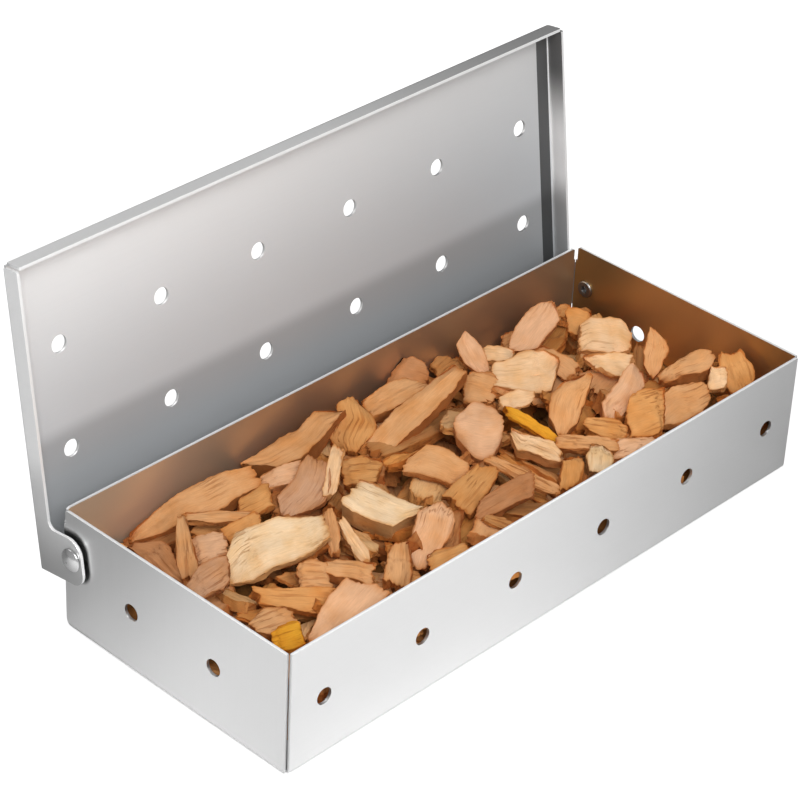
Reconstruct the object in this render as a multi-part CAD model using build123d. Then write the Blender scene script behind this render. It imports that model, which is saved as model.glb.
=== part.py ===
from build123d import *
import os
import random

import numpy as np

# Sheet steel and its folds
sheet = 0.9
bend_inside = 0.6
corner_gap = 0.15
overrun = 2.0

# Tray: outer sizes, then the corners of its walls at the rim and foot, and the slots in the back seams
tray_length = 210.0
tray_width = 88.2
tray_height = 39.4
back_wall_drop = 0.6
front_rim_round = 0.4
front_foot_round = 0.8
back_rim_round = 1.7
back_foot_round = 3.4
back_slot = 0.55
back_slot_depth = 4.6

# Air holes, a row in the front wall and a pair in each end wall, at half the wall's height
air_hole = 5.2
front_hole_count = 6
end_hole_count = 2
front_hole_margin = 13.1
end_hole_spacing = 32.2

# Lid: how it sits round the closed tray, and its own rows of air holes
lid_side_clearance = 0.85
lid_front_clearance = 1.25
lid_rim_clearance = 0.8
lid_back_overhang = 2.1
flange_depth = 6.4
flange_rim_round = 0.5
flange_fold_round = 2.2
lid_hole_end_margin = 15.1
lid_hole_front_margin = 29.5
lid_row_spacing = 31.8
lid_rows = 2
open_angle = 97.5

# Hinge ears, which carry the lid, and the hinge line through the end walls
hinge_setback = 5.9
hinge_drop = 13.3
ear_below_hinge = 4.0
ear_front_reach = 6.5
ear_heel_round = 4.5
ear_toe_round = 5.0
ear_throat_round = 2.4

# Semi-tubular rivets
rivet_head = 7.0
rivet_rim = 0.45
rivet_crown = 1.35
rivet_shank = 3.6
rivet_tail = 5.5
rivet_bore = 2.3
rivet_bore_depth = 1.8
rivet_clearance = 0.06
head_clearance = 0.12

# Wood chips: sizes of an average chip, spaces round it, and the shape of the heap
chip_length = 24.0
chip_width = 13.0
chip_thickness = 4.2
chip_gap = 0.25
wall_gap = 0.5
head_room = 4.3
bed_below_top = 13.1
heap_crown = 1.5
bed_sizes = (0.95, 1.4)
bed_tilt = 14.0
loose_sizes = (0.35, 0.7)
loose_tilt = 25.0
tries = 10
misses_to_stop = 14
nudge_turn = 20.0
zones_along = 6
zone_rows = ("front", "middle", "back")

# Dependent sizes
half_length = tray_length / 2
half_width = tray_width / 2
seam = sheet + corner_gap
lid_half_length = half_length + lid_side_clearance + sheet
lid_front = -half_width - lid_front_clearance - sheet
lid_back = half_width + lid_back_overhang
lid_top = tray_height + lid_rim_clearance + sheet
lid_strip_back = lid_front + seam + bend_inside
hinge_y = half_width - hinge_setback
hinge_height = tray_height - hinge_drop
ear_foot = hinge_height - ear_below_hinge
hole_height = tray_height / 2
chip_floor = sheet + chip_gap
chip_ceiling = tray_height - head_room
bed_edge = chip_ceiling - bed_below_top
chip_reach_x = half_length - sheet - wall_gap
chip_reach_y = half_width - sheet - wall_gap
rivet_grip = head_clearance + sheet + lid_side_clearance + sheet

# The chips that lie on top, one row each: place along and across the tray as shares of the reach,
# heading of the grain, its pitch and roll in degrees, then length, width and thickness as shares of
# the average chip. They are dropped in this order.
top_chip_shares = (
    (0.10, 0.48, 12, 3, -12, 1.90, 0.80, 1.10),
    (-0.82, -0.04, 96, 4, 14, 0.62, 0.45, 0.83),
    (-0.84, -0.34, 178, 0, 10, 0.55, 0.76, 1.19),
    (-0.84, -0.66, 161, -8, 12, 0.50, 0.81, 0.95),
    (0.86, 0.66, 28, 10, 20, 0.67, 0.50, 0.95),
    (0.20, 0.78, 166, 0, -14, 0.95, 0.71, 0.95),
    (0.26, -0.23, 97, 0, 10, 0.60, 0.75, 0.95),
    (0.51, -0.36, 27, 6, 14, 0.90, 0.60, 1.43),
    (0.00, 0.48, 1, 0, -10, 0.85, 0.50, 0.95),
    (-0.18, 0.41, 57, 0, 8, 0.70, 0.85, 1.19),
    (-0.30, 0.25, 30, 12, 16, 0.70, 0.50, 0.95),
    (-0.29, 0.64, 17, 0, -14, 0.60, 0.60, 0.95),
    (0.15, 0.32, 142, -6, 10, 0.62, 0.70, 0.95),
    (0.51, -0.70, 147, 4, 10, 0.60, 0.64, 0.95),
    (0.27, -0.62, 58, 30, 16, 0.60, 0.50, 1.19),
    (0.86, -0.33, 160, 4, 12, 0.55, 0.65, 0.95),
    (0.68, 0.02, 172, 6, 10, 0.60, 0.58, 0.83),
    (-0.08, 0.25, 161, 10, 10, 0.50, 0.45, 0.95),
    (-0.48, -0.16, 103, 0, 12, 0.60, 0.58, 0.95),
    (-0.51, 0.61, 6, 12, 0, 0.60, 0.55, 0.95),
    (0.56, 0.74, 133, 0, 8, 0.60, 0.65, 0.95),
    (-0.62, 0.80, 174, 5, -10, 1.80, 0.85, 1.40),
    (-0.24, 0.76, 6, -5, -14, 1.50, 0.95, 1.75),
    (-0.08, 0.66, 40, 4, 8, 0.85, 1.15, 0.83),
    (0.24, 0.76, 100, 8, 0, 0.65, 0.90, 2.30),
    (-0.87, 0.50, 84, 12, 16, 0.90, 0.80, 0.83),
    (-0.63, 0.56, 149, 4, 12, 0.75, 0.44, 0.60),
    (-0.72, 0.39, 20, 10, 12, 0.55, 0.77, 0.71),
    (-0.77, 0.48, 42, -38, 20, 1.05, 0.50, 0.83),
    (-0.82, 0.20, 14, 8, -8, 0.80, 0.80, 1.43),
    (-0.70, -0.28, 131, 0, 18, 0.95, 0.88, 0.83),
    (-0.60, -0.22, 160, 10, -12, 0.60, 0.85, 0.95),
    (-0.50, -0.38, 127, -6, 16, 0.75, 0.49, 0.71),
    (-0.41, -0.19, 74, 12, 10, 0.75, 0.51, 0.83),
    (-0.10, -0.66, 25, 6, 12, 0.90, 0.85, 0.90),
    (0.05, -0.62, 131, -4, 14, 0.80, 0.80, 0.90),
    (0.17, -0.42, 94, -8, 8, 1.15, 0.32, 0.71),
    (0.20, -0.40, 86, -4, 14, 1.00, 0.30, 0.71),
    (0.41, -0.56, 102, 4, 14, 0.75, 0.60, 0.71),
    (-0.02, 0.00, 28, -4, 12, 1.10, 0.90, 0.83),
    (0.00, -0.27, 171, 10, -18, 0.95, 0.84, 0.83),
    (0.26, -0.26, 89, 0, 12, 0.90, 0.74, 0.80),
    (0.70, 0.07, 24, 0, 10, 0.90, 0.75, 0.80),
    (0.35, 0.45, 79, 18, 8, 0.75, 0.64, 0.80),
    (0.90, -0.72, 60, 8, 26, 0.70, 0.34, 0.60),
    (0.74, -0.66, 169, 4, 14, 0.95, 0.86, 0.95),
    (0.58, -0.60, 9, 12, 10, 0.85, 0.88, 1.10),
    (0.68, -0.50, 173, 10, 8, 0.70, 0.60, 0.80),
    (0.86, -0.31, 166, 6, 12, 0.95, 0.79, 1.00),
    (-0.40, 0.40, 12, 10, 16, 1.05, 1.15, 0.75),
    (-0.25, 0.40, 40, -34, 12, 0.85, 0.40, 0.71),
    (-0.61, 0.06, 168, 3, 12, 1.25, 1.15, 1.00),
    (-0.67, -0.64, 30, 14, 16, 1.15, 1.25, 0.85),
    (-0.26, -0.12, 158, 4, 12, 0.95, 1.30, 1.20),
    (-0.25, -0.48, 36, 4, 18, 1.15, 0.98, 1.00),
    (0.26, 0.22, 158, 8, 12, 0.75, 0.74, 1.00),
    (0.15, -0.04, 30, 6, 14, 0.70, 0.77, 1.20),
    (0.50, 0.28, 18, 2, 12, 1.25, 1.25, 0.75),
    (0.42, 0.64, 61, 40, -20, 1.00, 0.62, 0.75),
    (0.69, 0.62, 14, -12, -26, 1.15, 0.95, 0.75),
    (0.81, 0.72, 61, 26, 18, 0.70, 0.45, 0.71),
    (0.78, 0.24, 28, 4, 12, 0.95, 1.00, 1.00),
    (0.62, 0.34, 79, 4, 10, 0.80, 0.40, 0.60),
    (0.49, -0.08, 12, 14, 12, 1.00, 1.05, 0.85),
    (0.31, -0.08, 84, -10, 14, 0.95, 0.39, 0.60),
    (0.61, -0.28, 14, 14, 12, 1.05, 0.88, 1.40),
    (0.83, -0.13, 43, -46, 14, 1.00, 0.60, 0.71),
    (0.93, -0.60, 78, 10, 32, 0.75, 0.85, 0.65),
    (0.35, -0.68, 146, 6, 6, 0.45, 0.70, 1.20),
)


def channel(span, height, run):
    """A floor with two folded walls: span along X, walls up to height, drawn out along Y by run."""
    side = span / 2
    fold = bend_inside + sheet
    outside = FilletPolyline((-side, height), (-side, 0), (side, 0), (side, height), radius=fold)
    low = side - sheet
    inside = FilletPolyline((low, height), (low, sheet), (-low, sheet), (-low, height), radius=bend_inside)
    section = make_face(outside + Line(outside @ 1, inside @ 0) + inside + Line(inside @ 1, outside @ 0))
    return extrude(Plane.XZ * section, run / 2, both=True)


def corner_waste(radius, reach):
    """What rounding takes off a square corner at the origin, with the sheet on its -Y and +Z sides."""
    waste = Polyline((-radius, 0), (-radius, -overrun), (overrun, -overrun), (overrun, radius), (0, radius))
    waste += RadiusArc((0, radius), (-radius, 0), radius)
    return extrude(Plane.YZ * make_face(waste), reach, both=True)


def round_corners(body, side, low, high, low_round, high_round, across=0, reach=tray_length, ends=(1, -1)):
    """Rounds the corners, at side across and low and high up, of the walls near across that face along X."""
    for end in ends:
        lower = corner_waste(low_round, reach)
        upper = Rot(Y=180) * corner_waste(high_round, reach)
        body -= Pos(across, end * side, low) * Rot(Z=90 - 90 * end) * lower
        body -= Pos(across, end * side, high) * Rot(Z=90 - 90 * end) * upper
    return body


def hole(bore, x, y, z, turn=(0, 0, 0)):
    """Round punch through one wall or panel."""
    return Pos(x, y, z) * Rot(*turn) * Cylinder(bore / 2, 2 * (sheet + overrun))


def spaced(count, spacing):
    """Places of count things about zero."""
    return [spacing * (i - (count - 1) / 2) for i in range(count)]


def end_walls():
    """Floor with the two end walls, whose corners are almost square in front and rounder at the back."""
    run = tray_width - 2 * seam
    body = channel(tray_length, tray_height, run)
    body = round_corners(body, run / 2, 0, tray_height, front_foot_round, front_rim_round, ends=(-1,))
    return round_corners(body, run / 2, 0, tray_height, back_foot_round, back_rim_round, ends=(1,))


def long_walls():
    """Floor with the front wall and the back wall, which is a little lower than the others."""
    run = tray_length - 2 * seam
    back_rim = tray_height - back_wall_drop
    body = channel(tray_width, tray_height, run)
    body -= Pos(half_width, 0, tray_height) * Box(2 * seam, run, 2 * back_wall_drop)
    front, back = (-half_width, half_width / 2), (half_width, half_width / 2)
    body = round_corners(body, run / 2, 0, tray_height, front_foot_round, front_rim_round, *front)
    return Rot(Z=90) * round_corners(body, run / 2, 0, back_rim, back_foot_round, back_rim_round, *back)


def tray():
    """One blank folded up into a floor and four walls that meet edge to edge, open at the corners."""
    body = end_walls() + long_walls()
    slot = 2 * (seam + back_slot)
    spacing = (tray_length - 2 * front_hole_margin) / (front_hole_count - 1)
    for x in spaced(front_hole_count, spacing):
        body -= hole(air_hole, x, -half_width, hole_height, (90, 0, 0))
    for side in (-half_length, half_length):
        for y in spaced(end_hole_count, end_hole_spacing):
            body -= hole(air_hole, side, y, hole_height, (0, 90, 0))
        body -= hole(rivet_shank + 2 * rivet_clearance, side, hinge_y, hinge_height, (0, 90, 0))
        body -= Pos(side, half_width, tray_height) * Box(slot, slot, 2 * back_slot_depth)
    return body


def lid_end_outline():
    """The lid seen from its end: a shallow flange that drops to a rounded hinge ear at the back."""
    rim = lid_top - flange_depth
    front, toe = lid_front + seam, hinge_y - ear_front_reach
    over = lid_top + overrun
    points = ((front, over), (front, rim), (toe, rim), (toe, ear_foot), (lid_back, ear_foot), (lid_back, over))
    rounds = (0, flange_rim_round, ear_throat_round, ear_toe_round, ear_heel_round, 0)
    outline = FilletPolyline(*points, radius=rounds, close=True)
    return extrude(Plane.YZ * make_face(outline), tray_length, both=True)


def lid_end_folds():
    """The panel with its two side flanges and their ears."""
    run = lid_back - lid_front + 2 * overrun
    folded = Rot(X=180) * channel(2 * lid_half_length, lid_top - ear_foot + overrun, run)
    body = (Pos(0, (lid_front + lid_back) / 2, lid_top) * folded) & lid_end_outline()
    corner = Rot(X=180) * corner_waste(flange_fold_round, seam)
    for side in (-lid_half_length, lid_half_length):
        body -= Pos(side, lid_front + seam, lid_top) * corner
    return body


def lid_front_fold():
    """The front flange, with the narrow strip of the panel that its bend runs into."""
    side, middle = lid_half_length - seam, (lid_back - lid_front) / 2
    folded = channel(2 * middle, flange_depth, 2 * side)
    trimmed = round_corners(folded, side, 0, flange_depth, flange_fold_round, flange_rim_round, middle, seam)
    placed = Pos(0, lid_front + middle, lid_top) * Rot(X=180) * Rot(Z=90) * trimmed
    return split(placed, bisect_by=Plane.XZ.offset(-lid_strip_back), keep=Keep.TOP)


def lid():
    """Panel with a front flange and two side flanges that end in the hinge ears, opened as in use."""
    width, depth = 2 * (lid_half_length - seam), 2 * flange_depth
    strip_room = Pos(0, lid_strip_back - flange_depth, lid_top) * Box(width, depth, 2 * (sheet + overrun))
    body = lid_end_folds() - strip_room + lid_front_fold()
    spacing = 2 * (lid_half_length - lid_hole_end_margin) / (front_hole_count - 1)
    for x in spaced(front_hole_count, spacing):
        for row in range(lid_rows):
            body -= hole(air_hole, x, lid_front + lid_hole_front_margin + row * lid_row_spacing, lid_top)
    for side in (-lid_half_length, lid_half_length):
        body -= hole(rivet_shank + 2 * rivet_clearance, side, hinge_y, hinge_height, (0, 90, 0))
    return body.rotate(Axis((0, hinge_y, hinge_height), (1, 0, 0)), -open_angle)


def rivet(side):
    """Semi-tubular rivet: a low dome outside the ear, its tail rolled over inside the end wall."""
    shank, head = rivet_shank / 2, rivet_head / 2
    bore, tail = rivet_bore / 2, rivet_tail / 2
    crown_radius = (head ** 2 + rivet_crown ** 2) / (2 * rivet_crown)
    apex = rivet_rim + rivet_crown
    bore_end = (rivet_bore_depth - rivet_grip, 0)
    roll, shoulder = (tail - bore) / 2, (tail - bore) / 5
    tip, flank = -rivet_grip - roll, -rivet_grip - roll + shoulder
    outline = Polyline(bore_end, (bore_end[0], bore), (tip, bore), (tip, tail - shoulder), (flank, tail))
    outline += Polyline((flank, tail), (-rivet_grip, tail), (-rivet_grip, shank), (0, shank))
    outline += Polyline((0, shank), (0, head), (rivet_rim, head))
    outline += RadiusArc((rivet_rim, head), (apex, 0), crown_radius)
    outline += Line((apex, 0), bore_end)
    turned = revolve(make_face(outline), Axis.X)
    seat = Pos(lid_half_length + head_clearance, hinge_y, hinge_height) * turned
    return seat if side > 0 else mirror(seat, about=Plane.YZ)


class Shape:
    """A convex solid at its place: corners, directions of faces and edges, and its box."""

    def __init__(self, corners, faces, edges):
        self.corners, self.faces, self.edges = corners, faces, edges
        self.lowest, self.highest = corners.min(0), corners.max(0)

    def raised(self, height):
        """The same shape, higher up."""
        return Shape(self.corners + (0, 0, height), self.faces, self.edges)


class Chip:
    """A split piece of wood, a convex solid with its grain along X, and its place in the heap."""

    def __init__(self, length, width, thickness, rng):
        self.ends = chip_ends(length, width, thickness, rng)
        near, far = self.ends
        along, around = far - near, np.roll(near, -1, axis=0) - near
        caps = np.cross(near[1] - near[0], near[2] - near[0]), np.cross(far[1] - far[0], far[2] - far[0])
        self.corners = np.vstack(self.ends)
        self.faces = directions(np.vstack((np.cross(along, around), caps)))
        self.edges = directions(np.vstack((along, around, np.roll(far, -1, axis=0) - far)))

    def turned(self, x, y, heading, pitch, roll):
        """The chip's shape at a place in plan, at a heading, pitch and roll."""
        matrix = turn_matrix(heading, pitch, roll).T
        return Shape(self.corners @ matrix + (x, y, 0), self.faces @ matrix, self.edges @ matrix)

    def settle(self, pose, height):
        """Keeps the place that was found for the chip."""
        x, y, heading, pitch, roll = pose
        self.shape = self.turned(*pose).raised(height)
        self.centre = self.shape.corners.mean(0)
        self.place = Pos(x, y, height) * Rot(Z=heading) * Rot(Y=pitch) * Rot(X=roll)


class Heap:
    """What already lies in the tray."""

    def __init__(self, shapes):
        self.shapes = list(shapes)
        self.boxes = np.array([np.concatenate((shape.lowest, shape.highest)) for shape in shapes])

    def add(self, shape):
        self.shapes.append(shape)
        self.boxes = np.vstack((self.boxes, np.concatenate((shape.lowest, shape.highest))))

    def below(self, shape):
        """Shapes that lie under or over one another in plan, the highest first."""
        low, high = shape.lowest - chip_gap, shape.highest + chip_gap
        boxes = self.boxes
        near = (boxes[:, 3:5] > low[:2]).all(1) & (boxes[:, :2] < high[:2]).all(1)
        found = np.flatnonzero(near)
        return [self.shapes[i] for i in found[np.argsort(-boxes[found, 5])]]


def directions(vectors):
    """Unit directions, with repeats and opposites left out."""
    kept = []
    for vector in vectors:
        unit = np.array(vector) / np.linalg.norm(vector)
        if all(abs(unit @ other) < 1 - 1e-6 for other in kept):
            kept.append(unit)
    return np.array(kept)


def turn_matrix(heading, pitch, roll):
    """The same turn as Rot(Z=heading) * Rot(Y=pitch) * Rot(X=roll)."""
    angles = np.radians((heading, pitch, roll))
    (ch, cp, cr), (sh, sp, sr) = np.cos(angles), np.sin(angles)
    about_z = np.array(((ch, -sh, 0), (sh, ch, 0), (0, 0, 1)))
    about_y = np.array(((cp, 0, sp), (0, 1, 0), (-sp, 0, cp)))
    about_x = np.array(((1, 0, 0), (0, cr, -sr), (0, sr, cr)))
    return about_z @ about_y @ about_x


def chip_ends(length, width, thickness, rng):
    """The two oblique ends, six corners each, of a stick that was split along a tapering grain."""
    y, z = width / 2, thickness / 2
    cut_y, cut_z = y * rng.uniform(0.25, 0.8), z * rng.uniform(0.4, 1.0)
    back_y, back_z = y * rng.uniform(0.25, 0.8), z * rng.uniform(0.4, 1.0)
    upper, lower = ((-y, z), (y - cut_y, z), (y, z - cut_z)), ((y, -z), (back_y - y, -z), (-y, back_z - z))
    outline = np.array(upper + lower)
    root = np.array((y * rng.uniform(-0.9, 0.9), -z))
    tip = root + (outline - root) * rng.uniform(0.4, 0.95)
    start = np.column_stack((np.full(len(outline), -length / 2), outline))
    stop = np.column_stack((np.full(len(outline), length / 2), tip))
    ends = []
    for end in (-1, 1):
        lean = min(rng.uniform(0.3, 1.0) * thickness, length / 5) / thickness
        skew = rng.uniform(-0.7, 0.7) * min(1, length / width / 2)
        middle = length / 2 - lean * z - abs(skew) * y
        cut = np.array((end, skew, lean))
        share = (np.array((end * middle, 0, 0)) - start) @ cut / ((stop - start) @ cut)
        ends.append(start + share[:, None] * (stop - start))
    return ends


def chip_body(ends):
    """The solid between a chip's two ends: flat split sides and two chopped end faces."""
    near, far = [[tuple(corner) for corner in end] for end in ends]
    rings = [near, far]
    for i in range(len(near)):
        rings.append([near[i - 1], near[i], far[i], far[i - 1]])
    return Solid(Shell([Face(Wire.make_polygon(ring)) for ring in rings]))


def tail_obstacle(side):
    """The space of a rivet's rolled tail, which no chip may enter."""
    size, depth = rivet_tail / 2 + chip_gap, rivet_tail / 2
    centre = np.array((side * (half_length - sheet), hinge_y, hinge_height))
    signs = np.array([(i, j, k) for i in (-1, 1) for j in (-1, 1) for k in (-1, 1)])
    return Shape(centre + signs * np.array((depth, size, size)), np.eye(3), np.eye(3))


def clear_height(mine, other):
    """Height at which one shape, moved straight up, clears another, or None if it always does."""
    crossed = np.cross(mine.edges[:, None], other.edges[None]).reshape(-1, 3)
    size = np.linalg.norm(crossed, axis=1)
    axes = np.vstack((mine.faces, other.faces, crossed[size > 0.01] / size[size > 0.01, None]))
    here, there = mine.corners @ axes.T, other.corners @ axes.T
    up = there.max(0) + chip_gap - here.min(0)
    down = there.min(0) - chip_gap - here.max(0)
    rise = axes[:, 2]
    level = np.abs(rise) < 1e-9
    if np.any(level & ((up <= 0) | (down >= 0))):
        return None
    ends = np.sort((up[~level] / rise[~level], down[~level] / rise[~level]), axis=0)
    first, last = ends[0].max(), ends[1].min()
    return last if last > first else None


def landing(shape, heap):
    """Height to which a shape can be lowered before it meets the floor or something in the heap."""
    height = chip_floor - shape.lowest[2]
    for other in heap.below(shape):
        if other.highest[2] + chip_gap - shape.lowest[2] <= height:
            break
        clear = clear_height(shape, other)
        if clear is not None:
            height = max(height, clear)
    return height


def heap_level(x, y):
    """Height that the bed of chips reaches at a place, higher in the middle than at the walls."""
    along, across = x / chip_reach_x, y / chip_reach_y
    return bed_edge + heap_crown * (1 - along ** 4) * (1 - across ** 2)


def hollow_level(x, y):
    """Height up to which small chips fill the hollows of the bed."""
    return heap_level(x, y) + chip_thickness


def under_lid(x, y):
    """Height that the highest chips keep to."""
    return chip_ceiling


def try_place(chip, pose, heap, limit):
    """Height of a chip lowered at a pose and of its middle, or None where it can't lie."""
    shape = chip.turned(*pose)
    reach = np.abs(shape.corners[:, :2]).max(0)
    if reach[0] > chip_reach_x or reach[1] > chip_reach_y:
        return None
    height = landing(shape, heap)
    if shape.highest[2] + height > limit(pose[0], pose[1]):
        return None
    return height + shape.corners[:, 2].mean(), height


def lowest(chip, poses, heap, limit):
    """Where a chip lies lowest among some poses, or None where it fits at none of them."""
    places = [(try_place(chip, pose, heap, limit), pose) for pose in poses]
    return min((place for place in places if place[0]), key=lambda place: place[0], default=None)


def nudged(pose, amount, rng):
    """A pose close to another one."""
    size = chip_thickness * amount
    turn = nudge_turn * amount
    steps = (size, size, turn, turn, turn)
    return tuple(value + rng.uniform(-1, 1) * step for value, step in zip(pose, steps))


def lay(chip, poses, heap, rng, limit):
    """Lays a chip at the lowest of some poses, or lower still in a hollow close to it."""
    found = lowest(chip, poses, heap, limit)
    if found is None:
        return False
    near = [nudged(found[1], 0.3, rng) for _ in range(tries)]
    (_, height), pose = lowest(chip, near + [found[1]], heap, limit)
    chip.settle(pose, height)
    heap.add(chip.shape)
    return True


def random_chip(rng, low, high):
    """A chip of common proportions, between two shares of the average size."""
    size = rng.uniform(low, high)
    length = chip_length * size * rng.uniform(0.8, 1.3)
    width = chip_width * size * rng.uniform(0.7, 1.2)
    return Chip(length, width, chip_thickness * size * rng.uniform(0.8, 1.4), rng)


def random_pose(rng, tilt):
    """Anywhere in the tray, at any heading, near enough flat."""
    x, y = chip_reach_x * rng.uniform(-0.98, 0.98), chip_reach_y * rng.uniform(-0.96, 0.96)
    return x, y, rng.uniform(0, 360), rng.uniform(-tilt, tilt), rng.uniform(-tilt, tilt)


def lay_on_top(chip, row, heap, rng):
    """Lays a chosen chip at its place, or else as close to it as there is room."""
    pose = (row[0] * chip_reach_x, row[1] * chip_reach_y) + row[2:5]
    for reach in (0, 0.5, 1, 2):
        if lay(chip, [nudged(pose, reach, rng) for _ in range(tries)], heap, rng, under_lid):
            return True
    return False


def strew(chips, sizes, tilt, heap, rng, limit):
    """Strews chips of mixed sizes over the heap until there is no more room under the limit."""
    missed = 0
    while missed < misses_to_stop:
        chip = random_chip(rng, *sizes)
        if lay(chip, [random_pose(rng, tilt) for _ in range(tries)], heap, rng, limit):
            chips.append(chip)
            missed = 0
        else:
            missed += 1


def heaped_chips():
    """Every chip of the heap: a bed, the large ones on top, then small ones in the hollows."""
    rng = random.Random(11)
    heap = Heap((tail_obstacle(-1), tail_obstacle(1)))
    chips = []
    strew(chips, bed_sizes, bed_tilt, heap, rng, heap_level)
    for row in top_chip_shares:
        chip = Chip(chip_length * row[5], chip_width * row[6], chip_thickness * row[7], rng)
        if lay_on_top(chip, row, heap, rng):
            chips.append(chip)
    strew(chips, loose_sizes, loose_tilt, heap, rng, hollow_level)
    return chips


def zone(chip):
    """Name of the part of the heap that a chip lies in."""
    along = (chip.centre[0] / chip_reach_x + 1) / 2
    across = (chip.centre[1] / chip_reach_y + 1) / 2
    row = zone_rows[min(int(across * len(zone_rows)), len(zone_rows) - 1)]
    return f"chips_{row}_{min(int(along * zones_along), zones_along - 1) + 1}"


parts = {
    "tray": tray(),
    "lid": lid(),
    "hinge_rivet_left": rivet(-1),
    "hinge_rivet_right": rivet(1),
}
zones = {}
for chip in heaped_chips():
    zones.setdefault(zone(chip), []).append(chip.place * chip_body(chip.ends))
for name in sorted(zones):
    parts[name] = Compound(children=zones[name])

os.makedirs("parts", exist_ok=True)
for name, part in parts.items():
    export_step(part, f"parts/{name}.step")
print(len(parts), "nodes,", sum(len(chips) for chips in zones.values()), "chips")
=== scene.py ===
import math
import random

import bmesh
import bpy
from mathutils import Matrix, Vector, noise
from mathutils.bvhtree import BVHTree


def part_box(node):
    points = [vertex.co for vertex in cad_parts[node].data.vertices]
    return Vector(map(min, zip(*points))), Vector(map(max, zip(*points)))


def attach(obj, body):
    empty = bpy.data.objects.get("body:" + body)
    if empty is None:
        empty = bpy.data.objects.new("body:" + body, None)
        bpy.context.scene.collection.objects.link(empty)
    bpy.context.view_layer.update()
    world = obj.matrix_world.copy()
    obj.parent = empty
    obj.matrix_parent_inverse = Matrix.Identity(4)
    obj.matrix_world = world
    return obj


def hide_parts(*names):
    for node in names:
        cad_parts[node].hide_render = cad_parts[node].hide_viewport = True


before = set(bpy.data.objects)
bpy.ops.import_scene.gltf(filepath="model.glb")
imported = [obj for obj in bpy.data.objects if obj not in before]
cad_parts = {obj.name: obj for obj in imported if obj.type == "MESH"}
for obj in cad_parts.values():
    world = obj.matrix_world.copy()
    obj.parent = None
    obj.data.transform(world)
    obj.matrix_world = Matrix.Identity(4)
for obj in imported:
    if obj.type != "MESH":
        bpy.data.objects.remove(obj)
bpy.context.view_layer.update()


# Camera: a long lens from the front left, above the open box, turned a little about its own axis.
# Its place was solved from the corners, holes and rivets of the box in the photograph.
mm = 0.001
camera_place = Vector((-522.3, -462.1, 505.6)) * mm
camera_azimuth, camera_elevation, camera_roll = -47.35, 33.26, 2.79
camera_lens, sensor_width, photo_side = 133.7, 36, 800
nearest_seen, farthest_seen = 0.01, 100

azimuth, elevation = math.radians(camera_azimuth), math.radians(camera_elevation)
flat = math.cos(elevation)
backward = Vector((math.sin(azimuth) * flat, -math.cos(azimuth) * flat, math.sin(elevation)))
roll = Matrix.Rotation(math.radians(camera_roll), 3, "Z")
aim = (-backward).to_track_quat("-Z", "Y").to_matrix() @ roll
camera = bpy.data.objects.new("camera", bpy.data.cameras.new("camera"))
camera.data.sensor_width = sensor_width
camera.data.lens = camera_lens
camera.data.clip_start, camera.data.clip_end = nearest_seen, farthest_seen
camera.matrix_world = Matrix.Translation(camera_place) @ aim.to_4x4()
bpy.context.scene.collection.objects.link(camera)
bpy.context.scene.camera = camera


# Tray: one stainless blank with open corner seams, its floor and four walls folded up and its rims
# left as cut. The sheet has a fine satin grain, along the box and up its two ends.
grain_fine, grain_long, grain_detail = 2400, 22, 3
grain_shade, grain_rough, grain_depth = 0.025, 0.05, 0.012 * mm
cloud_size, cloud_mix, cloud_shade, cloud_rough = 26, 0.55, 0.03, 0.06
cool_share, end_turn = 0.08, 0.7
sheet_edge, edge_blend = 0.16 * mm, 0.05 * mm


class Wire:
    """A shader socket for arithmetic: an operator adds its Math node, and node() adds any other."""

    def __init__(self, tree, socket=None):
        self.tree, self.socket = tree, socket

    def node(self, kind, settings=None, sockets=None, output=0):
        made = self.tree.nodes.new(kind)
        for name, value in (settings or {}).items():
            setattr(made, name, value)
        for name, value in (sockets or {}).items():
            if isinstance(value, Wire):
                self.tree.links.new(value.socket, made.inputs[name])
            else:
                made.inputs[name].default_value = value
        return Wire(self.tree, made.outputs[output] if made.outputs else None)

    def math(self, operation, *values):
        return self.node("ShaderNodeMath", {"operation": operation}, dict(enumerate(values)))

    def __add__(self, other):
        return self.math("ADD", self, other)

    def __sub__(self, other):
        return self.math("SUBTRACT", self, other)

    def __rsub__(self, other):
        return self.math("SUBTRACT", other, self)

    def __mul__(self, other):
        return self.math("MULTIPLY", self, other)

    def __pow__(self, other):
        return self.math("POWER", self, other)

    def clamped(self, low, high):
        return self.math("MINIMUM", self.math("MAXIMUM", self, low), high)

    __radd__, __rmul__ = __add__, __mul__


def new_finish(name):
    """An empty material, with the wire that its first nodes come from."""
    material = bpy.data.materials.new(name)
    material.use_nodes = True
    material.node_tree.nodes.clear()
    return material, Wire(material.node_tree)


def end_finish(wire, shader):
    wire.node("ShaderNodeOutputMaterial", None, {"Surface": shader})


def size_of(value):
    return value.math("ABSOLUTE", value)


def along_axes(place):
    """A place or a direction as its three numbers."""
    return [place.node("ShaderNodeSeparateXYZ", None, {"Vector": place}, axis) for axis in range(3)]


def stretched(place, scales):
    return place.node("ShaderNodeMapping", None, {"Vector": place, "Scale": scales})


def mottled(place, scale, detail, mix=0.5):
    """Soft noise round a half."""
    return place.node("ShaderNodeTexNoise", None, {
        "Vector": place, "Scale": scale, "Detail": detail, "Roughness": mix})


def rising(value, low, high):
    """Nought below low and one above high, along a smooth step; falling where low is the higher."""
    share = ((value - low) * (1 / (high - low))).clamped(0, 1)
    return share * share * (3 - share * 2)


def beyond(value, limit):
    """One above a limit and nought below it, over a tenth of a millimetre."""
    return rising(value, limit - edge_blend, limit + edge_blend)


def marked(*marks):
    """How light a sheet is under all its marks, each the share by which it lightens or darkens."""
    light = 1
    for mark in marks:
        light = (1 + mark) * light
    return light


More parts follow.
